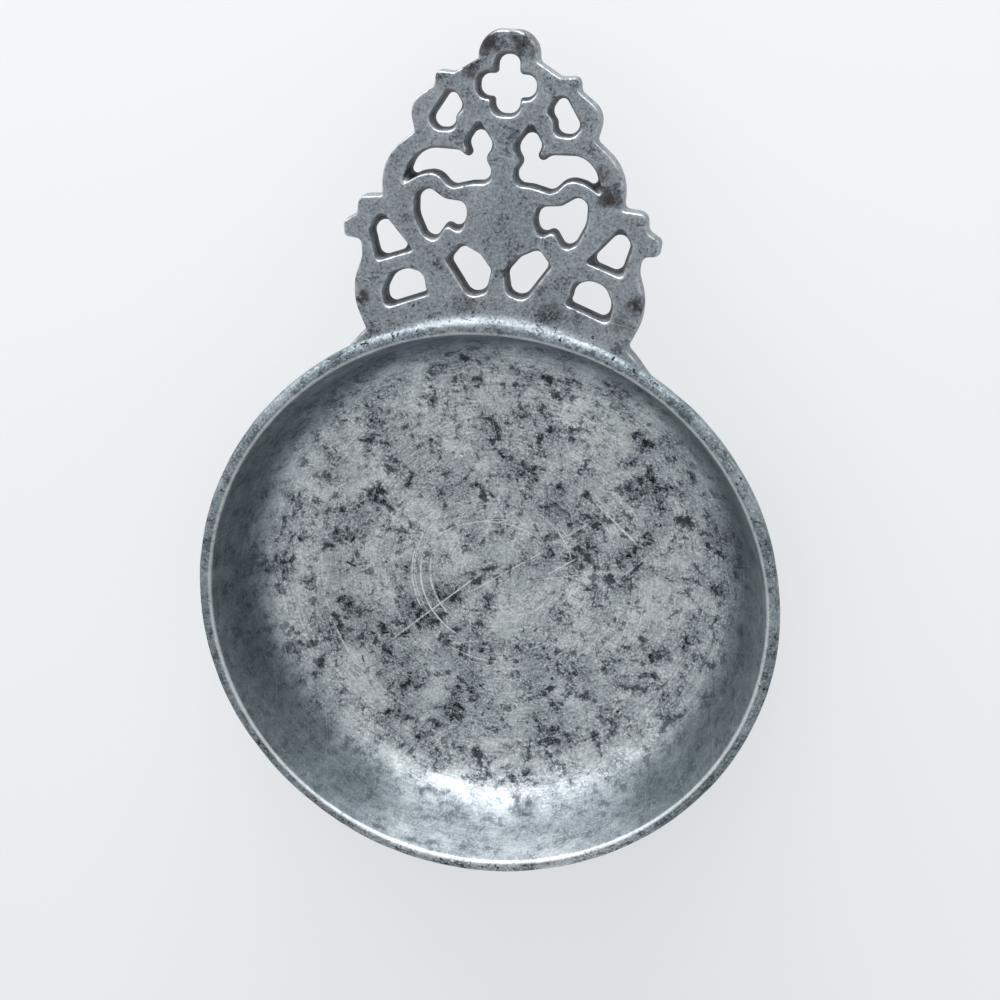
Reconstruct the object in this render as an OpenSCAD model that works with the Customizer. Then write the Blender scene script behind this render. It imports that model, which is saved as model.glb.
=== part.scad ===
// Pewter porringer: a shallow turned bowl with one flat, pierced handle.
// The bowl stands on the XY plane with its axis on Z and opens upwards.
// The handle points along +Y. All sizes are in millimetres.

/* [Bowl] */
// Outer diameter of the rim
rim_d = 137; // [118:1:160]
// Height of the rim above the table
bowl_h = 30; // [25:0.5:42]
// Thickness of the floor
floor_t = 2; // [1.5:0.1:3]
// Thickness of the side wall
wall_t = 2; // [1.5:0.1:3]
// Lean of the side wall from upright, in degrees
wall_lean = 11; // [8:0.1:24]
// Inside radius where the wall runs into the floor
floor_curve = 20; // [10:0.1:22]
// Width of the lip, seen from above
lip_w = 3.3; // [2.8:0.1:4.5]
// Height of the thick band below the lip
lip_h = 3.6; // [2.8:0.1:5]

/* [Handle] */
// Length of the handle from the rim to its tip
handle_l = 60.3; // [52:0.1:72]
// Width across the tips of the ears
handle_w = 68.2; // [60:0.1:80]
// Thickness of the handle
handle_t = 4.6; // [3.4:0.1:5.6]
// Step from the top of the rim down to the handle
handle_drop = 1.5; // [1:0.1:2.2]
// How far the openings close in from the top face to the back
opening_draft = 1.05; // [0.4:0.05:1.2]
// How far the outline spreads from the top face to the back
edge_draft = 0.6; // [0.2:0.05:1]
// Width of the worn bevel round the top edges
edge_bevel = 0.4; // [0.2:0.05:0.5]
// Width of the fillet between the handle and the rim
root_fillet = 1.6; // [0.8:0.1:2.4]

/* [Bracket] */
// Width of the bracket under the handle
bracket_w = 24; // [16:0.5:34]
// How far the bracket reaches down the bowl
bracket_drop = 13; // [8:0.5:16]
// How far the bracket stands out from the wall, under the handle
bracket_out = 5; // [3:0.1:5.5]

/* [Hidden] */
$fn = 96;

rim_r = rim_d / 2;
lip_r = rim_r - lip_w;
lip_outer_round = 2;
lip_inner_round = 1.1;
lip_under_round = 1;

handle_top = bowl_h - handle_drop;
handle_back = handle_top - handle_t;
back_bevel = 0.3;
// How far a cutter runs on past the metal
past = 0.6;

pewter = [0.60, 0.62, 0.63];
worn_pewter = [0.54, 0.56, 0.58];

// The outlines below were drawn for this reach and this width across the ears
drawn_l = 60.3;
drawn_w = 68.2;
stretch = [handle_w / drawn_w, handle_l / drawn_l];

// Each corner of an outline is [x, y, radius]. Y starts at the edge of the rim.
// Each outline is the right-hand half, or the right-hand one of a pair, and runs clockwise.
crest = [
    [5.1, 60.3, 4.8], [5.35, 55, 1], [11.2, 51.3, 1.5], [14.9, 51.6, 0.9], [15, 48.9, 1.2],
    [20.4, 44.9, 4.2], [19, 39.1, 0.6], [25.9, 33.3, 10.5], [25.75, 25, 0.6]
];
ear = [[31.1, 24.5, 1.4], [34.5, 17.7, 0.8], [30.3, 15.8, 1.2]];
flank = [[29.9, 12.1, 4], [32.5, 4.2, 13]];
hanging_eye = [
    [3.1, 56.7, 2.8], [3.1, 52.7, 0.5], [6.8, 52.6, 2.6],
    [6.8, 46.5, 2.7], [3.5, 46.3, 0.4], [3.5, 42.9, 2.8]
];
bean = [
    [12.5, 49.3, 1.6], [17.4, 41.5, 1.6], [15.6, 39.2, 2], [9.9, 39.3, 1.8],
    [10.1, 42.6, 1], [8.3, 44.8, 1.2], [10.2, 47.7, 2]
];
spear = [
    [5.7, 43, 0.7], [8.9, 37.7, 1.2], [7.7, 35, 0.3], [12, 32, 0.5], [10.35, 27.6, 0.3],
    [6.5, 28.6, 4], [1.9, 28.9, 2], [2.2, 32.5, 1.5], [3.3, 34.3, 0.8], [1.4, 37.1, 1.6]
];
leaf = [
    [7.7, 35, 0.3], [9.6, 36.5, 2], [19.3, 36.7, 7], [22.4, 27.3, 0.5], [17.6, 30, 5],
    [14.4, 30.7, 3], [11.9, 28.1, 1.5], [10.35, 27.6, 0.3], [4.5, 32, 0.5]
];
kidney = [
    [7.6, 25.5, 1.6], [12.4, 25.9, 2], [16.3, 28.4, 2], [19.2, 26.4, 2.2], [19.2, 21.7, 5],
    [17, 17.1, 3], [14, 15.7, 1.5], [11.5, 19.5, 0.9], [8.4, 17.8, 1.2], [6.8, 22.1, 4]
];
wedge = [[26.3, 22.7, 1.2], [29.1, 18, 0.9], [27.1, 10.7, 0.8], [18.4, 13.8, 0.5]];
drop = [
    [8.6, 16.7, 0.9], [12, 12.5, 0.6], [6.2, 4.1, 2.4],
    [2, 5.6, 1.8], [1, 10.8, 1], [3.9, 14.4, 1.2]
];
half_moon = [
    [20.5, 10.5, 3.5], [24, 9.1, 2.6], [25.9, 5, 4], [24.9, 0.5, 1.2],
    [14.7, 4.4, 0.6], [15.6, 6.3, 0.6], [16.2, 9.5, 1.9]
];
// Each pair of openings is its outline and a point from which all of its edge is in sight
pairs = [
    [bean, [12.6, 44]], [spear, [5.4, 34]], [leaf, [14.5, 33.5]], [kidney, [13.5, 22.5]],
    [wedge, [26, 16]], [drop, [6, 10]], [half_moon, [20, 6]]
];
eye_heart = [0, 49.6];
handle_heart = [0, 16];
// Where the outline leaves the rim: the notch, the spread beside it and the end under the lip
root_x = [28.6, 31, 37.5];
root_out = [1.8, 0.6, -3];
root_round = [0.5, 1, 0.2];

// Unit vector from a to b
function heading(a, b) = let (v = [b[0] - a[0], b[1] - a[1]]) v / norm(v);
// A vector turned a quarter turn to the left
function left_of(v) = [-v[1], v[0]];
function before(p, i) = p[(i + len(p) - 1) % len(p)];
function after(p, i) = p[(i + 1) % len(p)];

// Turn of the outline at corner i, in degrees, positive to the left
function bend(p, i) =
    let (u = heading(before(p, i), p[i]), v = heading(p[i], after(p, i)))
    atan2(u[0] * v[1] - u[1] * v[0], u * v);

// A crowded edge keeps a little straight between its two roundings
straight_kept = 0.9;
// Straight length that the rounding of corner i takes from each of its edges
function tangent(p, i) = p[i][2] * tan(abs(bend(p, i)) / 2);
function edge_share(p, i, j) =
    let (run = norm([p[j][0] - p[i][0], p[j][1] - p[i][1]]))
    min(1, straight_kept * run / max(tangent(p, i) + tangent(p, j), 0.001));

// Radii held to what their edges have room for
function fitted(p) = [
    for (i = [0 : len(p) - 1])
        let (back = (i + len(p) - 1) % len(p), next = (i + 1) % len(p))
        [p[i][0], p[i][1], p[i][2] * min(edge_share(p, back, i), edge_share(p, i, next)), p[i][3]]
];

// Each corner with its number of chords, so that every layer of a loft has as many points
plate_rise = 0.04;
bowl_rise = 0.01;
widest_chord = 24;
function counted(p, rise) = [
    for (i = [0 : len(p) - 1])
        let (sweep = min(widest_chord, 2 * acos(1 - min(1, rise / max(p[i][2], rise)))))
        [p[i][0], p[i][1], p[i][2], p[i][2] > 0 ? max(1, ceil(abs(bend(p, i)) / sweep)) : 0]
];

// A clockwise outline moved outwards by d. Its corners get rounder either way, as on a worn pattern.
function grown(p, d) = [
    for (i = [0 : len(p) - 1])
        let (
            m = left_of(heading(before(p, i), p[i])),
            n = left_of(heading(p[i], after(p, i))),
            shift = (m + n) / (1 + m * n) * d
        )
        [p[i][0] + shift[0], p[i][1] + shift[1], p[i][2] + abs(d), p[i][3]]
];

// The points of an outline with its corners rounded
function rounded(p) = [
    for (i = [0 : len(p) - 1])
        let (
            u = heading(before(p, i), p[i]),
            turned = bend(p, i),
            side = turned > 0 ? 1 : -1,
            arm = -side * p[i][2] * left_of(u),
            middle = [p[i][0], p[i][1]] - u * tangent(p, i) - arm
        )
        for (k = [0 : p[i][3]])
            let (a = turned * k / max(p[i][3], 1))
            middle + [arm[0] * cos(a) - arm[1] * sin(a), arm[0] * sin(a) + arm[1] * cos(a)]
];

// An outline brought from its drawn size to the handle's size
function placed(p) = [for (q = p) [q[0] * stretch[0], q[1] * stretch[1], q[2]]];
function both_sides(half) = concat(
    half,
    [for (i = [len(half) - 1 : -1 : 0]) [-half[i][0], half[i][1], half[i][2]]]
);
root = [
    for (i = [0 : len(root_x) - 1])
        let (x = root_x[i] * stretch[0])
        [x, sqrt(pow(rim_r + root_out[i], 2) - x * x) - rim_r, root_round[i]]
];
handle_outline = both_sides(concat(placed(concat(crest, ear, flank)), root));

// Radii of the straight part of the side wall, inside and out, at height z
function wall_in(z) = lip_r - (bowl_h - z) * tan(wall_lean);
function wall_out(z) = wall_in(z) + wall_t / cos(wall_lean);
bowl_outside = [
    [0, 0, 0],
    [wall_out(0), 0, floor_curve + wall_t],
    [wall_out(bowl_h - lip_h), bowl_h - lip_h, lip_under_round],
    [rim_r, bowl_h - lip_h, lip_under_round],
    [rim_r, bowl_h, lip_outer_round]
];
bowl_inside = [
    [lip_r, bowl_h, lip_inner_round],
    [wall_in(floor_t), floor_t, floor_curve],
    [0, floor_t, 0]
];

module turned(section) {
    rotate_extrude() polygon(rounded(fitted(counted(section, bowl_rise))));
}

// A closed solid through copies of one outline: each layer is [z, growth]
module loft(outline, heart, layers) {
    start = counted(outline, plate_rise);
    n = len(rounded(start));
    last = len(layers) - 1;
    rings = [
        for (l = layers, q = rounded(fitted(grown(start, l[1]))))
            [q[0], q[1], l[0]]
    ];
    hearts = [[heart[0], heart[1], layers[0][0]], [heart[0], heart[1], layers[last][0]]];
    low_heart = len(rings);
    faces = [
        for (i = [0 : n - 1])
            let (j = (i + 1) % n)
            each concat(
                [[low_heart, j, i], [low_heart + 1, last * n + i, last * n + j]],
                [for (l = [0 : last - 1]) each [
                    [l * n + i, l * n + n + j, l * n + n + i],
                    [l * n + i, l * n + j, l * n + n + j]
                ]]
            )
    ];
    polyhedron(points = concat(rings, hearts), faces = faces);
}

module plate() {
    loft(handle_outline, handle_heart, [
        [handle_back, edge_draft - back_bevel],
        [handle_back + back_bevel, edge_draft],
        [handle_top - edge_bevel, edge_bevel / 2],
        [handle_top, -edge_bevel / 2]
    ]);
}

module opening(outline, heart) {
    loft(outline, [heart[0] * stretch[0], heart[1] * stretch[1]], [
        [handle_back - past, -opening_draft],
        [handle_top - edge_bevel, -edge_bevel / 2],
        [handle_top, edge_bevel / 2],
        [handle_top + past, edge_bevel / 2 + past]
    ]);
}

module openings() {
    opening(placed(both_sides(hanging_eye)), eye_heart);
    for (side = [0, 1], pair = pairs)
        mirror([side, 0, 0]) opening(placed(pair[0]), pair[1]);
}

// The fillet's circle is tighter than the rim's, so both of its ends sink into the lip
fade = 17;
fillet_foot = 0.8;
fillet_sweep = 120;
module rim_fillet() {
    r = rim_r - fade;
    translate([0, fade, 0])
        rotate_extrude(start = 90 - fillet_sweep / 2, angle = fillet_sweep)
            polygon([
                [r - lip_outer_round, bowl_h],
                [r - lip_w, bowl_h],
                [r - lip_w, handle_top - fillet_foot],
                [r + root_fillet, handle_top - fillet_foot],
                [r + root_fillet, handle_top - edge_bevel / 2]
            ]);
}

// A tongue cast with the handle: it hugs the wall below and thins out towards its tip
tongue_taper = 4;
tongue_round = 6;
tongue_edge = 1;
bracket_depth = 14;
module bracket() {
    tip_z = handle_back - bracket_drop;
    half_w = bracket_w / 2;
    top_z = handle_back + tongue_edge;
    intersection() {
        translate([0, rim_r + bracket_out, 0])
            rotate([90, 0, 0])
                linear_extrude(2 * bracket_depth)
                    polygon(rounded(fitted(counted([
                        [-half_w, top_z, 0],
                        [half_w, top_z, 0],
                        [half_w, handle_back, tongue_edge],
                        [half_w - tongue_taper, tip_z, tongue_round],
                        [-half_w + tongue_taper, tip_z, tongue_round],
                        [-half_w, handle_back, tongue_edge]
                    ], plate_rise))));
        rotate_extrude()
            polygon([
                [wall_out(handle_back) + bracket_out, top_z],
                [wall_out(tip_z) - bracket_depth, top_z],
                [wall_out(tip_z) - bracket_depth, tip_z],
                [wall_out(tip_z) + tongue_edge, tip_z],
                [wall_out(handle_back) + bracket_out, handle_back]
            ]);
    }
}

module bowl() {
    color(pewter) turned(concat(bowl_outside, bowl_inside));
}

module handle() {
    color(worn_pewter)
        difference() {
            union() {
                translate([0, rim_r, 0])
                    difference() {
                        plate();
                        openings();
                    }
                rim_fillet();
                bracket();
            }
            turned(concat(bowl_outside, [[0, bowl_h, 0]]));
        }
}

bowl();
handle();
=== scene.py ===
# %% [markdown]
# A pewter porringer, made in Blender in small steps.
# The real one is a shallow bowl, cast and then skimmed on a lathe, with a flat pierced handle burned on to its rim.
# The CAD model comes first, as a frame that fixes every size. The pieces made here stay inside it and add what
# the eye looks for in old pewter: softened edges, pits, clouds of oxide, turning marks and scratches.

# %% Load the CAD frame
import math

import bmesh
import bpy
import numpy as np
from mathutils import Matrix, Vector
from mathutils.geometry import delaunay_2d_cdt


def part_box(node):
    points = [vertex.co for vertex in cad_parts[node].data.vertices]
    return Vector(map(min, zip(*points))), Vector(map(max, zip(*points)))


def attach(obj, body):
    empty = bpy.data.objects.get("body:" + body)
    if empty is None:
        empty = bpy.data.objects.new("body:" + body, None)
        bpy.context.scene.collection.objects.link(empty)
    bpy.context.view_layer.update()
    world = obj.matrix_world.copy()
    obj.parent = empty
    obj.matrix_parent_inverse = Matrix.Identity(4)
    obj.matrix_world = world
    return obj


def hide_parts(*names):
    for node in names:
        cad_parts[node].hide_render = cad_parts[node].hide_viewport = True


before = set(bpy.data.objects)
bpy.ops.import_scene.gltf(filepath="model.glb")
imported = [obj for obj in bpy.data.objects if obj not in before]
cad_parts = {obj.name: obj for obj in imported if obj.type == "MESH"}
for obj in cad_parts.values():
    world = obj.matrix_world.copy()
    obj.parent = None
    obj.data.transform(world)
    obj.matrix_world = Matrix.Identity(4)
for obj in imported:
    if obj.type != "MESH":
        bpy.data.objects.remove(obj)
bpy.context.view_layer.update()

MM = 0.001


def placed(name, data):
    """A new object in the scene."""
    thing = bpy.data.objects.new(name, data)
    bpy.context.scene.collection.objects.link(thing)
    return thing


# %% [markdown]
# The bowl's sizes are read from the frame where the frame shows them: the rim's radius and its height. The section
# of the wall repeats the CAD profile. All lengths in the shape cells are in millimetres, as on a maker's drawing,
# and they turn into metres when a mesh is made.

# %% Sizes of the bowl, in millimetres
bowl_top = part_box("bowl")[1]
rim_r = bowl_top.x / MM
bowl_h = bowl_top.z / MM
floor_t = 2
wall_t = 2
wall_lean = math.radians(11)
floor_curve = 20
lip_w = 3.3
lip_h = 3.6
lip_outer_round = 2
lip_inner_round = 1.1
lip_under_round = 1
lip_r = rim_r - lip_w


def wall_in(z):
    return lip_r - (bowl_h - z) * math.tan(wall_lean)


def wall_out(z):
    return wall_in(z) + wall_t / math.cos(wall_lean)


flat_floor_r = wall_in(floor_t) - floor_curve * math.tan((math.pi / 2 - wall_lean) / 2)
print(f"rim radius {rim_r:.1f}, height {bowl_h:.1f}, flat floor to {flat_floor_r:.1f}")

# %% [markdown]
# Every outline on this object, the bowl's section and the handle's edge alike, is a chain of corners with a radius
# each, which is how a pattern maker draws. One helper moves all the corners out or in, as a casting's draft does,
# and another rounds them into points. The number of points is fixed before the outline is moved, so that two rings
# of one edge always match point for point.


# %% Corners into points
def unit(v):
    return v / np.hypot(*v)


def corner_frames(corners):
    """For each corner: the direction in, the direction out and the turn between them."""
    places = np.array([c[:2] for c in corners], float)
    into = [unit(places[i] - places[i - 1]) for i in range(len(places))]
    out = into[1:] + into[:1]
    turns = [math.atan2(u[0] * v[1] - u[1] * v[0], u @ v) for u, v in zip(into, out)]
    return into, out, turns


def edge_reaches(corners, turns):
    """For each corner: how far along its edges the arc reaches, and how long the edge before it is."""
    places = np.array([c[:2] for c in corners], float)
    reach = [c[2] * math.tan(abs(t) / 2) for c, t in zip(corners, turns)]
    return reach, [np.hypot(*(places[i] - places[i - 1])) for i in range(len(places))]


def fitted(corners):
    """Radii held to the room that their edges have, with a little straight kept between two arcs."""
    straight_kept = 0.9
    reach, lengths = edge_reaches(corners, corner_frames(corners)[2])
    share = [min(1, straight_kept * n / max(reach[i - 1] + reach[i], 0.001)) for i, n in enumerate(lengths)]
    following = share[1:] + share[:1]
    return [[*c[:2], c[2] * min(a, b)] for c, a, b in zip(corners, share, following)]


def moved_out(corners, d):
    """A clockwise outline moved outwards by d. Its corners get rounder either way, as on a worn pattern."""
    into, out, _ = corner_frames(corners)
    result = []
    for c, u, v in zip(corners, into, out):
        m, n = np.array([-u[1], u[0]]), np.array([-v[1], v[0]])
        x, y = np.array(c[:2]) + (m + n) / (1 + m @ n) * d
        result.append([x, y, c[2] + abs(d) if c[2] > 0 else 0])
    return result


# %% Rounded rings of points
def chord_counts(corners, step):
    """How many chords each arc gets, and each straight run before it."""
    corners = fitted(corners)
    turns = corner_frames(corners)[2]
    reach, lengths = edge_reaches(corners, turns)
    widest = math.radians(15)
    arcs = [max(1, math.ceil(max(abs(t) * c[2] / step, abs(t) / widest))) if c[2] > 0 else 0
            for c, t in zip(corners, turns)]
    runs = [n - reach[i - 1] - reach[i] for i, n in enumerate(lengths)]
    return [(a, max(1, math.ceil(r / step))) for a, r in zip(arcs, runs)]


def ring(corners, counts):
    """The points of an outline with its corners rounded and its runs divided."""
    corners = fitted(corners)
    into, _, turns = corner_frames(corners)
    arcs = []
    for c, u, t, (chords, _) in zip(corners, into, turns, counts):
        side = 1 if t > 0 else -1
        arm = -side * c[2] * np.array([-u[1], u[0]])
        middle = np.array(c[:2]) - u * c[2] * math.tan(abs(t) / 2) - arm
        angles = [t * k / max(chords, 1) for k in range(chords + 1)]
        arcs.append([middle + np.array([arm[0] * math.cos(a) - arm[1] * math.sin(a),
                                        arm[0] * math.sin(a) + arm[1] * math.cos(a)]) for a in angles])
    points = []
    for i, (arc, (_, parts)) in enumerate(zip(arcs, counts)):
        start = arcs[i - 1][-1]
        points += [start + (arc[0] - start) * k / parts for k in range(1, parts)]
        points += arc
    return np.array(points)


# %% [markdown]
# The bowl was turned, so its shape follows a rule: one section carried round an axis. Geometry Nodes make it from
# that section. The section is a line of points in a flat mesh, Curve to Mesh carries it round a small circle, and
# points that meet on the axis are merged, so the floor closes. Hand work is never quite true: two soft noises press
# the surface in, one for the long waves of the wall and one for the small dents of use. They only press inwards,
# so the bowl can't grow out of its CAD box.

# %% The bowl's section
bowl_section = [
    [0, 0, 0],
    [wall_out(0), 0, floor_curve + wall_t],
    [wall_out(bowl_h - lip_h), bowl_h - lip_h, lip_under_round],
    [rim_r, bowl_h - lip_h, lip_under_round],
    [rim_r, bowl_h, lip_outer_round],
    [lip_r, bowl_h, lip_inner_round],
    [wall_in(floor_t), floor_t, floor_curve],
    [0, floor_t, 0],
]
section_step = 0.8
section_counts = chord_counts(bowl_section, section_step)
section_points = ring(bowl_section, section_counts)
axis_end = section_counts[0][1] - 1
section_points = section_points[axis_end:][::-1]
hub_r = 1
section_mesh = bpy.data.meshes.new("bowl_section")
section_mesh.from_pydata(
    [((x - hub_r) * MM, -z * MM, 0) for x, z in section_points],
    [(i, i + 1) for i in range(len(section_points) - 1)], [])
section_object = placed("bowl_section", section_mesh)
print(f"{len(section_points)} points along the section, from", section_points[0], "to", section_points[-1])


# %% Noise that only presses inwards
def link_all(tree, *pairs):
    for start, end in pairs:
        tree.links.new(start, end)


def press_depth(tree, scale, detail, depth):
    """How far a noise presses: its low half counts as nothing, and its peaks as the full depth."""
    noise, only_high, times = (tree.nodes.new("ShaderNode" + kind) for kind in ("TexNoise", "MapRange", "Math"))
    noise.inputs["Scale"].default_value = scale
    noise.inputs["Detail"].default_value = detail
    only_high.inputs["From Min"].default_value = 0.45
    only_high.inputs["From Max"].default_value = 0.8
    times.operation = "MULTIPLY"
    link_all(tree, (noise.outputs["Fac"], only_high.inputs["Value"]),
             (only_high.outputs["Result"], times.inputs[0]), (depth, times.inputs[1]))
    return times.outputs[0]


def pressed_in(tree, depths):
    """The way from a point to its place after both noises have pressed it in, against its normal."""
    normal, total, inwards, push = (tree.nodes.new(kind) for kind in (
        "GeometryNodeInputNormal", "ShaderNodeMath", "ShaderNodeMath", "ShaderNodeVectorMath"))
    total.operation, inwards.operation, push.operation = "ADD", "MULTIPLY", "SCALE"
    inwards.inputs[1].default_value = -1
    link_all(tree, (depths[0], total.inputs[0]), (depths[1], total.inputs[1]), (total.outputs[0], inwards.inputs[0]),
             (normal.outputs["Normal"], push.inputs[0]), (inwards.outputs[0], push.inputs["Scale"]))
    return push.outputs["Vector"]


# %% A tree of nodes that turns the section
def lathe_tree():
    tree = bpy.data.node_groups.new("lathe", "GeometryNodeTree")
    inputs = {}
    for name, kind in (("Geometry", "Geometry"), ("Hub radius", "Float"), ("Steps round", "Int"),
                       ("Wave depth", "Float"), ("Dent depth", "Float"), ("Finish", "Material")):
        socket = tree.interface.new_socket(name, in_out="INPUT", socket_type="NodeSocket" + kind)
        inputs[name] = socket.identifier
    tree.interface.new_socket("Geometry", in_out="OUTPUT", socket_type="NodeSocketGeometry")
    new = tree.nodes.new
    entry, leave = new("NodeGroupInput"), new("NodeGroupOutput")
    to_curve = new("GeometryNodeMeshToCurve")
    circle = new("GeometryNodeCurvePrimitiveCircle")
    sweep = new("GeometryNodeCurveToMesh")
    close = new("GeometryNodeMergeByDistance")
    close.inputs["Distance"].default_value = 0.00001
    smooth = new("GeometryNodeSetShadeSmooth")
    press = new("GeometryNodeSetPosition")
    real = new("GeometryNodeRealizeInstances")
    paint = new("GeometryNodeSetMaterial")
    waves = press_depth(tree, 28, 1, entry.outputs["Wave depth"])
    dents = press_depth(tree, 160, 2, entry.outputs["Dent depth"])
    link_all(
        tree,
        (entry.outputs["Geometry"], to_curve.inputs["Mesh"]),
        (entry.outputs["Steps round"], circle.inputs["Resolution"]),
        (entry.outputs["Hub radius"], circle.inputs["Radius"]),
        (circle.outputs["Curve"], sweep.inputs["Curve"]),
        (to_curve.outputs["Curve"], sweep.inputs["Profile Curve"]),
        (sweep.outputs["Mesh"], close.inputs["Geometry"]),
        (pressed_in(tree, (waves, dents)), press.inputs["Offset"]),
        (entry.outputs["Finish"], paint.inputs["Material"]))
    chain = (close, smooth, press, real, paint, leave)
    link_all(tree, *[(a.outputs["Geometry"], b.inputs["Geometry"]) for a, b in zip(chain, chain[1:])])
    return tree, inputs


lathe, lathe_inputs = lathe_tree()
print("lathe inputs:", list(lathe_inputs))


# %% Turn the bowl
def plain_mesh(source, name):
    """The evaluated object as a plain mesh, without its modifiers."""
    graph = bpy.context.evaluated_depsgraph_get()
    mesh = bpy.data.meshes.new_from_object(source.evaluated_get(graph))
    mesh.name = name
    source.modifiers.clear()
    bpy.data.objects.remove(source)
    return placed(name, mesh)


def point_outwards(piece):
    """Turns the faces of a closed mesh outwards and counts them."""
    shape = bmesh.new()
    shape.from_mesh(piece.data)
    bmesh.ops.recalc_face_normals(shape, faces=shape.faces)
    if shape.calc_volume(signed=True) < 0:
        bmesh.ops.reverse_faces(shape, faces=shape.faces)
    open_edges = sum(not e.is_manifold for e in shape.edges)
    print(f"{piece.name}: {len(shape.faces)} faces, {open_edges} open edges, {shape.calc_volume() / MM**3:.0f} mm3")
    shape.to_mesh(piece.data)
    shape.free()


turned_pewter = bpy.data.materials.new("turned_pewter")
cast_pewter = bpy.data.materials.new("cast_pewter")
turning = section_object.modifiers.new("turning", "NODES")
turning.node_group = lathe
for label, value in (("Hub radius", hub_r * MM), ("Steps round", 300), ("Wave depth", 0.25 * MM),
                     ("Dent depth", 0.12 * MM), ("Finish", turned_pewter)):
    turning[lathe_inputs[label]] = value
turned_bowl = plain_mesh(section_object, "turned_bowl")
point_outwards(turned_bowl)

# %% [markdown]
# The handle was cast in a mould and then cleaned up with a file. Its outline and its openings are drawn as corners
# with radii, one half of the outline and one of each pair of openings, and the other side is their mirror image.
# Y is measured from the edge of the rim. The curl is one opening with a cusp above and below, where two lobes meet.

# %% The handle's outlines
handle_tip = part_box("handle")[1].y / MM
handle_drop = 1.5
handle_t = 4.6
handle_top = bowl_h - handle_drop
handle_back = handle_top - handle_t
opening_draft = 1.05
edge_draft = 0.6

crest = [
    [5.7, 60.3, 5.4], [6, 54.4, 1], [11.2, 51.3, 1.5], [14.9, 51.6, 0.9], [15, 48.9, 1.2],
    [20.4, 44.9, 4.2], [19, 39.1, 0.6], [25.9, 33.3, 10.5], [25.75, 25, 0.6],
]
ear = [[31, 24.6, 1.6], [31.3, 20.9, 1.2], [34.3, 19.1, 1], [34, 16.3, 0.8], [30.3, 15.9, 1.2]]
flank = [[29.9, 12.1, 4], [32.5, 4.2, 13]]
hanging_eye = [
    [3.1, 56.7, 2.8], [3.1, 52.7, 0.5], [6.8, 52.6, 2.6],
    [6.8, 46.5, 2.7], [3.5, 46.3, 0.4], [3.5, 42.9, 2.8],
]
bean = [
    [12.4, 49.2, 1.8], [17, 42, 2.2], [14.8, 39.3, 2.4], [10.1, 39.5, 1.8],
    [10.1, 42.6, 1], [8.3, 44.8, 1.2], [10.2, 47.7, 2],
]
curl = [
    [5.7, 43, 0.7], [8.9, 37.7, 1.2], [7.7, 35, 0.3], [9.6, 36.5, 2], [19.3, 36.7, 7],
    [22.4, 27.3, 0.5], [17.6, 30, 5], [14.4, 30.7, 3], [11.9, 28.1, 1.5], [10.35, 27.6, 0.6],
    [6.5, 28.6, 4], [1.9, 28.9, 2], [2.2, 32.5, 1.5], [3.3, 34.3, 0.8], [1.4, 37.1, 1.6],
]
kidney = [
    [7.6, 25.5, 1.6], [12.4, 25.9, 2], [16.3, 28.4, 2], [19.2, 26.4, 2.2], [19.2, 21.7, 5],
    [17, 17.1, 3], [14, 15.7, 1.5], [11.5, 19.5, 0.9], [8.4, 17.8, 1.2], [6.8, 22.1, 4],
]
wedge = [[26.3, 22.7, 1.2], [29.1, 18, 0.9], [27.1, 10.7, 0.8], [18.4, 13.8, 0.5]]
drop = [
    [8.6, 16.7, 0.9], [12, 12.5, 0.6], [6.2, 4.1, 2.4],
    [2, 5.6, 1.8], [1, 10.8, 1], [3.9, 14.4, 1.2],
]
half_moon = [
    [20.5, 10.5, 3.5], [24, 9.1, 2.6], [25.9, 5, 4], [24.9, 0.5, 1.2],
    [14.7, 4.4, 0.6], [15.6, 6.3, 0.6], [16.2, 9.5, 1.9],
]


def mirrored(corners):
    return [[-x, y, r] for x, y, r in reversed(corners)]


def from_axis(corners):
    """Corners given from the rim's edge, now measured from the bowl's axis."""
    return [[x, y + rim_r, r] for x, y, r in corners]


def on_rim(x, out, r):
    return [x, math.sqrt((rim_r + out) ** 2 - x * x) - rim_r, r]


# Under the lip the plate ends on an arc inside the metal of the wall
root = [on_rim(28.6, 1.8, 0.5), on_rim(31, 0.6, 1), on_rim(37.5, -3, 0.2)]
hidden_arc = [on_rim(x, -3, 0) for x in (33, 28, 22, 15, 8)]
edge_half = crest + ear + flank + root + hidden_arc
plate_edge = from_axis(edge_half + mirrored(edge_half))
openings = [from_axis(hanging_eye + mirrored(hanging_eye))]
for shape in (bean, curl, kidney, wedge, drop, half_moon):
    openings += [from_axis(shape), from_axis(mirrored(shape))]
print(f"{len(plate_edge)} corners round the plate, {len(openings)} openings")
print(f"highest corner at {plate_edge[0][1]:.1f}, tip of the CAD handle at {handle_tip:.1f}")

# %% [markdown]
# The plate is built from rings. Each edge starts on the top face, rolls over in a few small steps, as an edge worn
# by hands does, and runs down to the back with the draft that lets a casting leave its mould: the outline spreads
# and the openings close in. The two flat faces are then filled with a Delaunay triangulation through the rings and
# a scatter of points between them. Those inner points let the face rise where it blends into the rim.


# %% Rings from the top face to the back
worn_edge = 0.35
worn_swell = 0.2
roll_rings = 5


def rolled_edge(way):
    """Pairs of height and growth down the rolled edge. The outline grows outwards if way is 1."""
    return [(handle_top - worn_edge * (1 - math.cos(a)), way * (worn_swell - worn_edge * (1 - math.sin(a))))
            for a in np.linspace(0, math.pi / 2, roll_rings)]


def outer_levels():
    back_chamfer = 0.35
    return rolled_edge(1) + [
        (handle_top - 0.5 * handle_t, 0.7 * edge_draft), (handle_back + back_chamfer, edge_draft),
        (handle_back + 0.1, edge_draft - 0.1), (handle_back, edge_draft - back_chamfer)]


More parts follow.
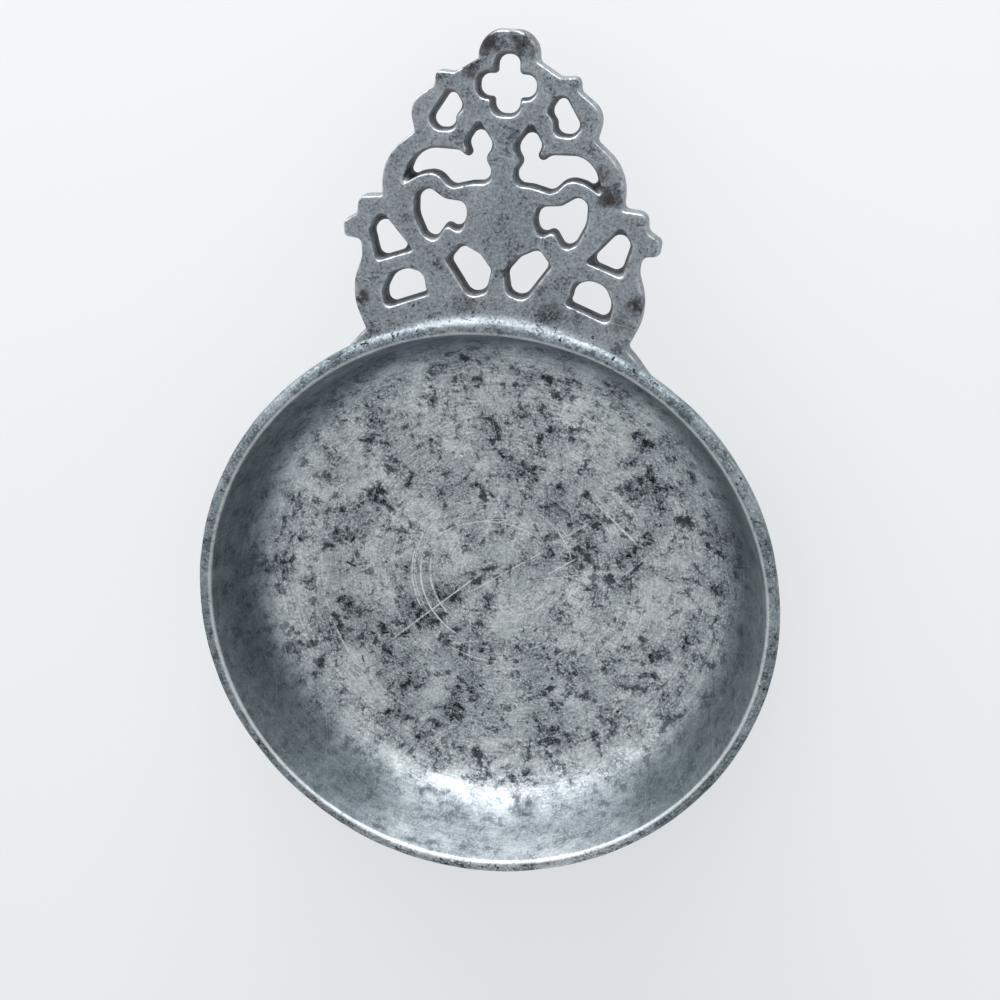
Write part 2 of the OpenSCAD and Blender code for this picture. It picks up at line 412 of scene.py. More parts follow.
def inner_levels():
    """The outline of an opening moves out at the top and in towards the back."""
    back_chamfer = 0.25
    return rolled_edge(-1) + [
        (handle_top - 0.5 * handle_t, -0.6 * opening_draft), (handle_back + back_chamfer, 0.15 - opening_draft),
        (handle_back, back_chamfer - opening_draft)]


# %% [markdown]
# Where the molten metal met the bowl it left a fillet, so the plate's face sweeps up to the rim. The sweep follows
# a tighter circle than the rim's and runs out on both sides. Its top stays a hair below the lip's, and inside the
# lip it sinks, so that two faces never lie in one plane, where a render would flicker between them.

# %% The sweep up to the rim
fillet_fade = 17
fillet_foot = 1.7
fillet_head = -1.5
arc_share = 0.35
below_lip = 0.03
sunk_depth = 0.5
sunk_r = lip_r + 0.5
sink_run = 0.8


def rim_rise(x, y):
    """How far the plate's face stands above its flat level at one point."""
    s = math.hypot(x, y - fillet_fade) - (rim_r - fillet_fade)
    t = min(max((fillet_foot - s) / (fillet_foot - fillet_head), 0), 1)
    sweep = (handle_drop * (1 - math.cos(math.pi / 2 * t)) * arc_share
             + handle_drop * t * t * (3 - 2 * t) * (1 - arc_share))
    out = min(max((math.hypot(x, y) - sunk_r) / sink_run, 0), 1)
    return (sweep - below_lip) * out - sunk_depth * (1 - out)


ring_step = 0.5
plate_rings = []
for corners, levels in [(plate_edge, outer_levels())] + [(o, inner_levels()) for o in openings]:
    counts = chord_counts(corners, ring_step)
    plate_rings.append([(z, ring(moved_out(fitted(corners), growth), counts)) for z, growth in levels])
print("points in each edge's ring:", [len(rings[0][1]) for rings in plate_rings])


# %% Fill a face with triangles
def inside(points, outline):
    """Which points lie inside a closed outline, by counting crossings."""
    x, y = points[:, 0:1], points[:, 1:2]
    ax, ay = outline.T
    bx, by = np.roll(ax, -1), np.roll(ay, -1)
    spans = (ay > y) != (by > y)
    with np.errstate(divide="ignore", invalid="ignore"):
        crossing = x < (bx - ax) * (y - ay) / (by - ay) + ax
    return (spans & crossing).sum(1) % 2 == 1


def in_metal(points, outlines):
    """Which points lie inside the first outline and in none of the holes."""
    metal = inside(points, outlines[0])
    for hole in outlines[1:]:
        metal &= ~inside(points, hole)
    return metal


def scatter(outlines, spacing):
    """A hexagonal scatter of points over the metal, kept clear of the edges."""
    low, high = outlines[0].min(0), outlines[0].max(0)
    rows = np.arange(low[1], high[1], spacing * math.sqrt(3) / 2)
    points = np.array([(x + (i % 2) * spacing / 2, y) for i, y in enumerate(rows)
                       for x in np.arange(low[0], high[0], spacing)])
    points = points[in_metal(points, outlines)]
    edges = np.vstack(outlines)
    nearest = np.array([np.hypot(*(edges - p).T).min() for p in points])
    return points[nearest > 0.6 * spacing]


def filled(outlines, spacing):
    """Triangles between the outlines: (points, triangles), outline points first."""
    given = np.vstack(outlines + [scatter(outlines, spacing)])
    edges, first = [], 0
    for outline in outlines:
        n = len(outline)
        edges += [(first + i, first + (i + 1) % n) for i in range(n)]
        first += n
    _, _, faces, origins, _, _ = delaunay_2d_cdt([Vector(p) for p in given], edges, [], 0, 1e-5)
    faces = [[origins[i][0] for i in f] for f in faces]
    return given, metal_faces(given, faces, edges, outlines)


def metal_faces(points, faces, edges, outlines):
    """The triangles on the metal's side: whole regions are judged by their largest triangle."""
    fences = {frozenset(e) for e in edges}
    sides = [[s for s in map(frozenset, zip(f, f[1:] + f[:1])) if s not in fences] for f in faces]
    beside = {}
    for i, own in enumerate(sides):
        for side in own:
            beside.setdefault(side, []).append(i)
    a, b, c = (points[[f[k] for f in faces]] for k in range(3))
    (ux, uy), (vx, vy) = (b - a).T, (c - a).T
    sizes = np.abs(ux * vy - vx * uy)
    on_metal = in_metal((a + b + c) / 3, outlines)
    kept, seen = [], set()
    for start in range(len(faces)):
        if start in seen:
            continue
        region, queue = [], [start]
        seen.add(start)
        while queue:
            i = queue.pop()
            region.append(i)
            for j in (j for side in sides[i] for j in beside[side]):
                if j not in seen:
                    seen.add(j)
                    queue.append(j)
        largest = max(region, key=lambda k: sizes[k])
        if on_metal[largest] and sizes[largest] > 1e-6:
            kept += [faces[i] for i in region]
    return kept


# %% Join the rings and the faces
wear_of_ring = (0.35, 1, 1, 0.7, 0.35)


def plate_shape(face_spacing):
    """The pierced plate, with two attributes for its finish: how worn a point is, and if it is in an opening."""
    shape = bmesh.new()
    wear = shape.verts.layers.float.new("edge_wear")
    wall = shape.verts.layers.float.new("opening_wall")
    ends = []
    for number, rings in enumerate(plate_rings):
        levels = []
        for level, (z, points) in enumerate(rings):
            row = []
            for x, y in points:
                rolled = level < roll_rings
                vert = shape.verts.new((x * MM, y * MM, (z + rim_rise(x, y) * rolled) * MM))
                vert[wear] = wear_of_ring[level] if rolled else 0
                if number > 0 and level >= roll_rings - 1:
                    vert[wall] = 0.5 if rolled else 1
                row.append(vert)
            levels.append(row)
        for upper, lower in zip(levels, levels[1:]):
            n = len(upper)
            for i in range(n):
                shape.faces.new((upper[i], upper[(i + 1) % n], lower[(i + 1) % n], lower[i]))
        ends.append((levels[0], levels[-1]))
    for side in (0, 1):
        outlines = [rings[-side][1] for rings in plate_rings]
        points, triangles = filled(outlines, face_spacing)
        verts = [v for pair in ends for v in pair[side]]
        for x, y in points[len(verts):]:
            z = handle_top + rim_rise(x, y) if side == 0 else handle_back
            verts.append(shape.verts.new((x * MM, y * MM, z * MM)))
        for triangle in triangles:
            shape.faces.new([verts[i] for i in triangle])
    return shape


def cast_piece(name, shape):
    """The shape as a smooth piece of cast pewter."""
    piece = placed(name, bpy.data.meshes.new(name))
    shape.to_mesh(piece.data)
    shape.free()
    piece.data.materials.append(cast_pewter)
    piece.data.shade_smooth()
    point_outwards(piece)
    return piece


pierced_handle = cast_piece("pierced_handle", plate_shape(0.9))

# %% [markdown]
# Under the handle a tongue of metal runs down the outside of the bowl. It was cast with the handle and spreads its
# pull over the wall. It is a patch in two directions: across the tongue it swells and falls back to the wall like
# a flattened arch, and down the wall it gets thinner and narrower up to a round tip.

# %% The tongue under the handle
bracket_w = 24
bracket_drop = 13
bracket_out = 5
tongue_edge = 1
tongue_narrowing = 4
tongue_thinning = 1.15
tip_share = 0.28
inside_wall = 0.4
tongue_back = 0.6
tongue_top = handle_back + 1
tongue_tip = handle_back - bracket_drop


def outside_wall(z):
    """Radius of the bowl's outside, with the curve at the foot."""
    start = wall_out(0) - (floor_curve + wall_t) * math.tan((math.pi / 2 - wall_lean) / 2)
    centre_z = floor_curve + wall_t
    on_curve = start + math.sqrt(max(centre_z**2 - (centre_z - z) ** 2, 0))
    bend_ends = centre_z * (1 - math.sin(wall_lean))
    return on_curve if z < bend_ends else wall_out(z)


def tongue_shape(across, down):
    """A closed patch on the wall, with rows across the tongue from under the handle down to its tip."""
    shape = bmesh.new()
    front, back = [], []
    for j in range(down + 1):
        t = j / down
        z = tongue_top - (tongue_top - tongue_tip) * t
        rounding = math.sqrt(max(1 - max((t - 1 + tip_share) / tip_share, 0) ** 2.4, 0))
        half = (bracket_w / 2 - tongue_narrowing * t) * rounding
        stand = tongue_edge + (bracket_out - tongue_edge) * (1 - t) ** tongue_thinning
        front_row, back_row = [], []
        for i in range(across + 1):
            u = -1 + 2 * i / across
            sideways = math.sin(u * math.pi / 2)
            x = sideways * half
            swell = stand * (1 - abs(sideways) ** 4) ** 0.5 * min(rounding * 1.6, 1)
            wall = outside_wall(z) - inside_wall
            for row, r in ((front_row, wall + inside_wall * (swell > 0.01) + swell), (back_row, wall - tongue_back)):
                row.append(shape.verts.new((x * MM, math.sqrt(r * r - x * x) * MM, z * MM)))
        front.append(front_row)
        back.append(back_row)
    for rows in (front, back):
        for a, b in zip(rows, rows[1:]):
            for i in range(across):
                shape.faces.new((a[i], a[i + 1], b[i + 1], b[i]))
    for i in range(across):
        for j in (0, down):
            shape.faces.new((front[j][i], front[j][i + 1], back[j][i + 1], back[j][i]))
    for j in range(down):
        for i in (0, across):
            shape.faces.new((front[j][i], front[j + 1][i], back[j + 1][i], back[j][i]))
    return shape


wall_tongue = cast_piece("wall_tongue", tongue_shape(40, 30))

# %% [markdown]
# Old pewter is never one grey. Handling polishes the high places, oxide settles as clouds, and the metal pits where
# food and damp have stood. All of that is drawn with nodes on Object coordinates, counted in millimetres, so the
# marks keep their real size. A small helper adds the nodes: it takes numbers or sockets and gives a socket back.


# %% A short way to write node trees
class Recipe:
    """Adds nodes to one material. Every value may be a number, a tuple or another node's socket.

    Its sockets say where a point is, in millimetres: place, flat (the place without its height), x, y, height and
    radius from the bowl's axis.
    """

    def __init__(self, material):
        material.use_nodes = True
        self.tree = material.node_tree
        self.shader = self.tree.nodes["Principled BSDF"]
        at = self.tree.nodes.new("ShaderNodeTexCoord").outputs["Object"]
        self.place = self.scaled(at, 1 / MM)
        self.x, self.y, self.height = self.put("ShaderNodeSeparateXYZ", {0: self.place}).outputs
        self.flat = self.vector("MULTIPLY", self.place, (1, 1, 0))
        self.radius = self.vector("LENGTH", self.flat)

    def put(self, kind, values, **settings):
        node = self.tree.nodes.new(kind)
        for name, value in settings.items():
            setattr(node, name, value)
        for key, value in values.items():
            if isinstance(value, bpy.types.NodeSocket):
                self.tree.links.new(value, node.inputs[key])
            else:
                node.inputs[key].default_value = value
        return node

    def math(self, operation, *values):
        return self.put("ShaderNodeMath", dict(enumerate(values)), operation=operation).outputs[0]

    def vector(self, operation, *values):
        node = self.put("ShaderNodeVectorMath", dict(enumerate(values)), operation=operation)
        return node.outputs["Value" if operation in ("LENGTH", "DOT_PRODUCT") else "Vector"]

    def scaled(self, place, factor):
        return self.put("ShaderNodeVectorMath", {0: place, "Scale": factor}, operation="SCALE").outputs["Vector"]

    def noise(self, place, size, detail=3, roughness=0.5, distortion=0):
        """Soft noise whose largest features are about size across."""
        return self.put("ShaderNodeTexNoise", {
            "Vector": place, "Scale": 1 / size, "Detail": detail, "Roughness": roughness,
            "Distortion": distortion}).outputs["Fac"]

    def step(self, value, low, high, first=0, last=1):
        """Runs smoothly from first to last while value goes from low to high."""
        return self.put("ShaderNodeMapRange", {
            "Value": value, "From Min": low, "From Max": high, "To Min": first, "To Max": last},
            interpolation_type="SMOOTHSTEP").outputs["Result"]

    def chain(self, operation, result, *others):
        for other in others:
            result = self.math(operation, result, other)
        return result

    def either(self, *masks):
        """The strongest of several masks."""
        return self.chain("MAXIMUM", *masks)

    def both(self, *masks):
        """Several masks multiplied."""
        return self.chain("MULTIPLY", *masks)

    def total(self, *parts):
        return self.chain("ADD", *parts)

    def over(self, mask, under, colour):
        """A colour laid over another where the mask is 1."""
        values = {0: mask}
        for index, value in ((6, under), (7, colour)):
            values[index] = value if isinstance(value, bpy.types.NodeSocket) else (*value, 1)
        return self.put("ShaderNodeMix", values, data_type="RGBA").outputs[2]

    def ramp(self, value, stops):
        node = self.put("ShaderNodeValToRGB", {"Fac": value})
        elements = node.color_ramp.elements
        while len(elements) < len(stops):
            elements.new(0.5)
        for element, (position, colour) in zip(elements, stops):
            element.position = position
            element.color = (*colour, 1)
        return node.outputs["Color"]

    def attribute(self, name):
        return self.put("ShaderNodeAttribute", {}, attribute_name=name).outputs["Fac"]


# %% [markdown]
# The greys of pewter run from the black of deep oxide to the polish of a rubbed edge. They lean to blue, and the
# darker the oxide, the bluer it looks. The tone that picks one is built as a sum: a middle grey, plus what lifts it
# and what darkens it, so each mark can be understood and changed by itself.

# %% The colours of old pewter
grey_steps = [
    (0.18, (0.024, 0.028, 0.034)),
    (0.35, (0.092, 0.106, 0.122)),
    (0.50, (0.212, 0.238, 0.262)),
    (0.62, (0.352, 0.386, 0.412)),
    (0.76, (0.545, 0.582, 0.602)),
    (0.95, (0.840, 0.866, 0.875)),
]
pit_black = (0.010, 0.012, 0.015)
# Near-black for the walls of the handle's openings: oxide and painted shade.
cold_oxide_and_shade = (0.040, 0.047, 0.055)
brown_oxide = (0.095, 0.068, 0.052)
black_crust = (0.040, 0.034, 0.032)
green_bloom = (0.420, 0.470, 0.430)
# The dark teal grey of the painted shade on the bowl's wall.
shaded_wall_grey = (0.175, 0.222, 0.238)
bright_metal = (0.880, 0.900, 0.910)


# %% [markdown]
# Both castings share some marks: clouds are wide and soft, patches of oxide are a few millimetres across with ragged
# edges, grain is the fine salt and pepper of a corroded surface, and pits are small, black and hard-edged. Hairlines
# are the scratches of scouring, made from noise that is stretched a long way in one direction.


# %% Marks of both castings
def lift(r, noise, amount):
    """A noise turned into a shift of tone, lighter or darker."""
    return r.both(r.math("SUBTRACT", noise, 0.5), amount)


def clouds(r):
    return r.noise(r.place, 13, roughness=0.6, distortion=0.5)


def ragged(r, size):
    return r.noise(r.place, size, detail=5, roughness=0.53, distortion=0.3)


def grain(r):
    return r.noise(r.place, 0.65, roughness=0.85)


def pits(r, size, where, threshold):
    """Small hard specks. where, from 0 to 1, lowers the threshold, so they gather there."""
    specks = r.noise(r.place, size, detail=4, roughness=0.7, distortion=0.2)
    limit = r.step(where, 0, 1, threshold + 0.14, threshold)
    return r.step(r.math("SUBTRACT", specks, limit), 0, 0.02)


def hairlines(r, angle):
    length, width, height = 16, 0.3, 40
    turned = r.put("ShaderNodeVectorRotate", {"Vector": r.place, "Angle": math.radians(angle)},
                   rotation_type="Z_AXIS").outputs["Vector"]
    stretched = r.vector("MULTIPLY", turned, (1 / length, 1 / width, 1 / height))
    return r.step(r.noise(stretched, 1, detail=1), 0.70, 0.76)


# %% [markdown]
# Some scratches are long enough to be recognised, so they are placed one by one, as arcs and straight lines in the
# plane of the floor. Each is a distance: to a circle, with the part that faces one way kept, or to a line. Most are
# bright, where the oxide was cut through. A few short nicks are deep and have filled with dirt, so they are dark.


# %% Scratches placed one by one, in millimetres and degrees
arc_scratches = [
    # centre x, centre y, radius, from, to, width, strength
    (-1, -1, 19, 168, 245, 0.24, 1),
    (-1, -1, 21.2, 163, 212, 0.2, 0.9),
    (-1.5, -0.5, 20.1, 150, 224, 0.16, 0.8),
    (0, 0, 17.6, 170, 236, 0.2, 0.9),
    (0.3, 0.6, 18.3, 188, 226, 0.16, 0.8),
    (0, 0.3, 24.5, 236, 284, 0.2, 0.7),
    (-2, -8.5, 21.7, 55, 140, 0.18, 0.75),
    (0, 0, 18.6, 14, 54, 0.18, 0.8),
    (1, -0.5, 46.6, 199, 221, 0.24, 0.8),
    (0, 0, 45.5, 211, 240, 0.2, 0.5),
    (0.5, -0.2, 14.2, 60, 118, 0.16, 0.6),
    (0, 0.5, 31.5, 20, 48, 0.18, 0.6),
]
straight_scratches = [
    # from x, from y, to x, to y, width, strength
    (-28.8, -22.7, -3, 0.8, 0.22, 0.85),
    (22, 21.2, 34.8, 9.8, 0.28, 1),
    (20.5, 19, 28, 12.5, 0.18, 0.7),
    (9.8, -0.8, 19.7, 6.1, 0.2, 0.8),
    (6.8, -1.5, 31, 3.8, 0.16, 0.65),
    (-8.3, -6.8, 13, 8.3, 0.18, 0.75),
    (3.8, -12.9, 22, -0.8, 0.16, 0.6),
    (-6.8, -7.6, -6.5, -28, 0.18, 0.5),
    (-12.9, -20.8, -3.8, -18.9, 0.2, 0.7),
    (-30, -1.5, -23.5, 3, 0.16, 0.5),
    (15, 10.5, 21.5, 15, 0.18, 0.6),
    (41.5, 13, 30.5, 2, 0.16, 0.55),
]
dark_nicks = [
    # the same columns
    (-39.6, -1, -36.5, -2.3, 0.34, 1),
    (-29.8, -19.4, -27.5, -19.3, 0.34, 1),
    (-9.3, -36.9, -7.1, -39.2, 0.3, 1),
    (-34.7, -26.1, -34.1, -28.6, 0.26, 0.9),
]


def arc_scratch(r, x, y, radius, first, last, width, strength):
    spoke = r.vector("SUBTRACT", r.flat, (x, y, 0))
    away = r.math("ABSOLUTE", r.math("SUBTRACT", r.vector("LENGTH", spoke), radius))
    middle, reach = math.radians((first + last) / 2), math.radians((last - first) / 2)
    facing = r.vector("DOT_PRODUCT", r.vector("NORMALIZE", spoke), (math.cos(middle), math.sin(middle), 0))
    return r.both(r.step(away, 1.3 * width, 0.2 * width),
                  r.step(facing, math.cos(reach), math.cos(reach * 0.7), 0, strength))


def straight_scratch(r, x0, y0, x1, y1, width, strength):
    span = Vector((x1 - x0, y1 - y0, 0))
    along = span.normalized()
    spoke = r.vector("SUBTRACT", r.flat, ((x0 + x1) / 2, (y0 + y1) / 2, 0))
    away = r.math("ABSOLUTE", r.vector("DOT_PRODUCT", spoke, (-along.y, along.x, 0)))
    past = r.math("ABSOLUTE", r.vector("DOT_PRODUCT", spoke, tuple(along)))
    half = span.length / 2
    return r.both(r.step(away, 1.3 * width, 0.2 * width), r.step(past, half, half * 0.6, 0, strength))


# %% [markdown]
# The bowl's finish reads how far a point is from the axis, how high it stands and which way it lies, and from that
# it knows its places: the floor, the wall, which is smoother and duller, rougher and darkened with painted shade,
# the part of the wall across from the handle, where that painted shade thins out into a painted highlight, the lower
# left of the wall, with more painted shade, and the rubbed lip, whose inner edge is bright with wear and a painted
# highlight. Each place is a mask from 0 to 1.


# %% The places of the bowl
def bowl_places(r):
    way = r.vector("NORMALIZE", r.flat)
    wall = r.step(r.radius, 56.5, 62)
    # Painted highlight: across from the handle the wall keeps less of its painted shade.
    painted_highlight_side = r.step(r.vector("DOT_PRODUCT", way, (0.12, -0.993, 0)), 0.78, 0.97)
    # Painted shade: the lower left of the wall is darkened more.
    lower_left_shade = r.step(r.vector("DOT_PRODUCT", way, (-0.95, -0.31, 0)), 0.8, 0.98)
    lip = r.both(r.step(r.radius, lip_r - 0.5, lip_r + 0.4), r.step(r.height, bowl_h - 2, bowl_h - 0.6))
    off_edge = r.math("ABSOLUTE", r.math("SUBTRACT", r.radius, lip_r + 0.3))
    return {
        "wall": wall,
        "painted_wall_shade": r.both(wall, r.step(painted_highlight_side, 0, 1, 1, 0.3)),
        "painted_lower_left_shade": r.both(wall, lower_left_shade),
        "lip": lip,
        # The lip's inner edge: bright with wear and with a painted highlight.
        "inner_edge": r.both(r.step(off_edge, 0.6, 0.1), r.step(r.height, bowl_h - 1.2, bowl_h - 0.5)),
        "corroding": r.either(r.step(r.radius, 53, 61, 1, 0.45), lip),
        "inside": r.both(r.step(r.height, 12, 6), r.step(r.height, 1, 1.6)),
    }


# %% [markdown]
# Stains and pale blooms sit at named places, because they are what one would know this bowl by. They are round
# spots, but the distance to each is measured after a noise has pushed the point about, which makes them ragged.

# %% Stains and blooms
floor_stains = [
    # x, y, radius, darkness
    (34, 12, 9, 0.75), (24, 1, 8, 0.7), (38, -18, 8, 0.9), (31.5, -35, 6, 1), (20.5, -22, 5, 0.8),
    (14, -28, 5, 0.8), (-24, -30, 6, 0.95), (-46, -42, 6, 0.8), (-33, -48, 6, 0.8), (-8, -40, 8, 0.6),
    (-46, 13.5, 4, 0.8), (3, 26, 4.5, 0.8), (45, 16, 4, 0.75), (36, 27, 6, 0.7), (29.5, 42, 4, 0.8),
    (-17, -7, 3, 0.5), (43, -38, 4, 0.6), (-30, 4, 6, 0.45), (10, 47, 10, 0.5), (-50, -25, 6, 0.5),
]
floor_blooms = [
    # x, y, radius, strength
    (0, 1, 9, 0.9), (27, 37, 9, 1), (-42, 20, 10, 0.7), (-9, 45, 8, 0.7), (-31, -34, 7, 0.5),
    (4, -15, 8, 0.6), (40, -2, 7, 0.5), (-52, -8, 8, 0.5), (8, -38, 8, 0.5), (24, -46, 8, 0.5),
]


def pushed(r, size, amount):
    """The point, flattened to the XY plane, after a noise has pushed it about by up to half of amount."""
    push = r.put("ShaderNodeTexNoise", {"Vector": r.place, "Scale": 1 / size, "Detail": 4}).outputs["Color"]
    moved = r.vector("ADD", r.place, r.scaled(r.vector("SUBTRACT", push, (0.5, 0.5, 0.5)), amount))
    return r.vector("MULTIPLY", moved, (1, 1, 0))


def spots(r, point, places):
    """The strongest of several soft round spots."""
    marks = []
    for x, y, radius, strength in places:
        away = r.vector("LENGTH", r.vector("SUBTRACT", point, (x, y, 0)))
        marks.append(r.step(away, radius, radius * 0.2, 0, strength))
    return r.either(*marks)


# %% [markdown]
# The tone of the bowl is a sum. Oxide lies in solid islands with a crisp shore: a ragged noise is cut off at one
# height, as a map is at sea level, and again lower down for the deep oxide. A finer noise gives small scabs in the
# same way. Inside them the grain is calmer, and between them single grains are lightened as painted glints. The wall
# has corroded less, so bright and dark are both held back there, and it is darkened with painted shade.


# %% The tone of the bowl
def turned_streaks(r):
    """Noise drawn out round the axis, as a lathe tool leaves it."""
    angle = r.math("ARCTAN2", r.y, r.x)
    unrolled = r.put("ShaderNodeCombineXYZ", {0: r.both(r.radius, 2.2), 1: r.both(angle, 2.6), 2: r.height})
    return r.noise(unrolled.outputs[0], 1, detail=4, roughness=0.7)


def bowl_tone(r, at, noises, stain, bloom):
    cloud, skin, flakes, fine, streaks = noises
    depth = r.total(lift(r, skin, 1), lift(r, fine, 0.15), lift(r, cloud, 0.3), r.both(stain, -0.09),
                    r.both(at["lip"], -0.03))
    oxide, deep_oxide = r.step(depth, -0.02, -0.035), r.step(depth, -0.11, -0.12)
    crust = r.total(lift(r, flakes, 1), lift(r, skin, 0.6), lift(r, fine, 0.1), r.both(stain, -0.04))
    # Painted glints: single grains made brighter in the tone.
    scab, painted_glints, worn = r.step(crust, -0.1, -0.112), r.step(fine, 0.55, 0.68), r.step(depth, 0.06, 0.1)
    gritty = r.both(r.step(depth, 0.08, -0.04, 0.6, 1), r.step(scab, 0, 1, 1, 0.45))
    clouding = r.both(lift(r, cloud, 0.6), r.step(at["wall"], 0, 1, 1, 0.55))
    corroded = r.total(lift(r, streaks, 0.5), r.both(lift(r, fine, 1.4), gritty), lift(r, flakes, 0.35),
                       r.both(oxide, -0.05), r.both(deep_oxide, -0.12), r.both(scab, -0.18), r.both(painted_glints, 0.08))
    middle = 0.68
    # On the wall, painted shade darkens the tone, more at the lower left and less across from the handle.
    tone = r.total(middle, clouding, r.both(corroded, at["corroding"]), r.both(worn, 0.06), r.both(at["painted_wall_shade"], -0.16),
                   r.both(at["painted_lower_left_shade"], -0.06), r.both(at["lip"], 0.06), r.both(bloom, 0.05))
    return tone, depth, oxide


# %% [markdown]
# On top of the tone lie the marks with an edge of their own. Pits are black and gather in the stains and on the lip,
# and scratches are broken up by a noise, because a point skips over hard spots.


# %% Marks on the bowl
def bowl_black(r, at, stain, cloud):
    gather = r.math("ADD", r.both(stain, 0.9), r.step(cloud, 0.55, 0.35, 0, 0.45))
    return r.either(
        r.both(pits(r, 2.2, gather, 0.60), at["corroding"]),
        r.both(pits(r, 0.9, gather, 0.62), at["corroding"]),
        r.both(at["lip"], pits(r, 1.1, r.step(cloud, 0.60, 0.42), 0.58)),
        *[r.both(straight_scratch(r, *n), at["inside"]) for n in dark_nicks])


def bowl_scratches(r, at):
    lines = r.either(*[arc_scratch(r, *s) for s in arc_scratches],
                     *[straight_scratch(r, *s) for s in straight_scratches])
    broken = r.step(r.noise(r.place, 1.2), 0.38, 0.55, 0.35, 1)
    return r.both(lines, broken, at["inside"])


# %% The turned bowl's finish
def finish_bowl(r):
    at = bowl_places(r)
    cloud, fine, streaks = clouds(r), grain(r), turned_streaks(r)
    point = pushed(r, 3, 10)
    stain, bloom = spots(r, point, floor_stains), spots(r, point, floor_blooms)
    tone, depth, oxide = bowl_tone(r, at, (cloud, ragged(r, 4.4), ragged(r, 1.9), fine, streaks), stain, bloom)
    black, lines = bowl_black(r, at, stain, cloud), bowl_scratches(r, at)
    scouring = r.both(r.either(hairlines(r, 28), hairlines(r, -36), hairlines(r, 74)),
                      r.step(at["wall"], 0, 1, 0.4, 0.15))

    colour = r.ramp(tone, grey_steps)
    colour = r.over(r.both(bloom, r.step(depth, -0.04, 0.06), 0.4), colour, green_bloom)
    # Painted shade: the wall is laid over with a dark teal grey, less of it across from the handle.
    colour = r.over(r.both(at["painted_wall_shade"], 0.45), colour, shaded_wall_grey)
    colour = r.over(r.both(black, 0.9), colour, pit_black)
    colour = r.over(r.either(lines, scouring), colour, bright_metal)
    # Bright metal on the lip's inner edge: wear and a painted highlight.
    colour = r.over(r.both(at["inner_edge"], 0.5), colour, bright_metal)
    rough = r.total(0.5, r.both(at["wall"], 0.14), r.both(oxide, 0.05), r.both(black, 0.2), r.both(lines, -0.1))
    relief = r.total(r.both(fine, 0.12), r.both(oxide, -0.1), r.both(streaks, 0.08), r.both(black, -0.6),
                     r.both(lines, -0.25))
    return colour, rough, relief


def finish(material, recipe_for):
    """Bare metal all over. The recipe gives its colour, its roughness and the relief for a shallow bump."""
    r = Recipe(material)
    colour, rough, relief = recipe_for(r)
    bump = r.put("ShaderNodeBump", {"Height": relief, "Strength": 0.6, "Distance": 0.12 * MM})
    r.shader.inputs["Metallic"].default_value = 1
    link_all(r.tree, (colour, r.shader.inputs["Base Color"]), (rough, r.shader.inputs["Roughness"]),
             (bump.outputs["Normal"], r.shader.inputs["Normal"]))
    print(material.name, "has", len(r.tree.nodes), "nodes")


finish(turned_pewter, finish_bowl)

# %% [markdown]
# The handle is the same metal, but it was cast and filed, never turned. It is more even, with fine dark specks, and
# its edges shine where hands have rubbed them. The walls of the openings are painted nearly black, partly for oxide
# out of reach of any cloth and partly as painted shade, with a brown oxide low down. The mesh carries both as
# attributes, written when its rings were made.

# %% The cast handle's finish
handle_stains = [
    # x, y, radius, darkness
    (-4.5, 126.5, 4.2, 1), (-7.5, 121.5, 3.2, 1), (3.2, 126.5, 4.2, 0.9), (-15.5, 119.5, 2.4, 0.8),
    (23, 96.5, 3.6, 1), (21, 100.5, 3, 0.6), (-29.5, 71.5, 2.2, 0.9), (-13, 80, 1.6, 0.8), (2.5, 79, 2.4, 0.8),
    (30.5, 74, 2.6, 0.9), (-32.5, 92, 2.4, 0.7), (-7, 71.5, 4, 0.5), (12, 71, 4, 0.45), (27, 70, 4, 0.4),
]


